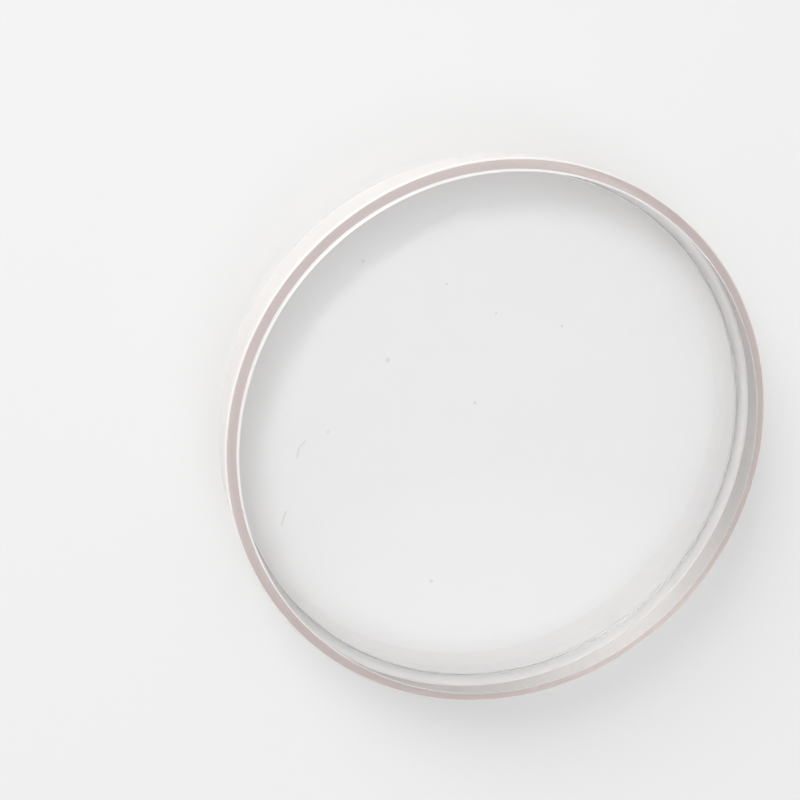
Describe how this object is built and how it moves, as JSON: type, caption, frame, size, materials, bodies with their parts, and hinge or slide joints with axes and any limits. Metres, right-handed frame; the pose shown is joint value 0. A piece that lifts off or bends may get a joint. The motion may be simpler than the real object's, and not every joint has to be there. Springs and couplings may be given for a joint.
{
  "type": "dental milling disc",
  "caption": "Clear acrylic blank with a stepped clamping rim, held by its rim in a holder while splints and restorations are milled from it.",
  "frame": {"origin": "centre of the lower face, which the disc lies on", "axes": "+Z along the disc's axis, out of the upper face; the disc is the same all round, so +X and +Y are any two directions across it"},
  "size_m": [0.0984, 0.0984, 0.012],
  "materials": {
    "clear_acrylic": "polished faces, satin turned rim"
  },
  "bodies": {
    "root": {"milling_disc": "clear_acrylic"}
  },
  "joints": []
}
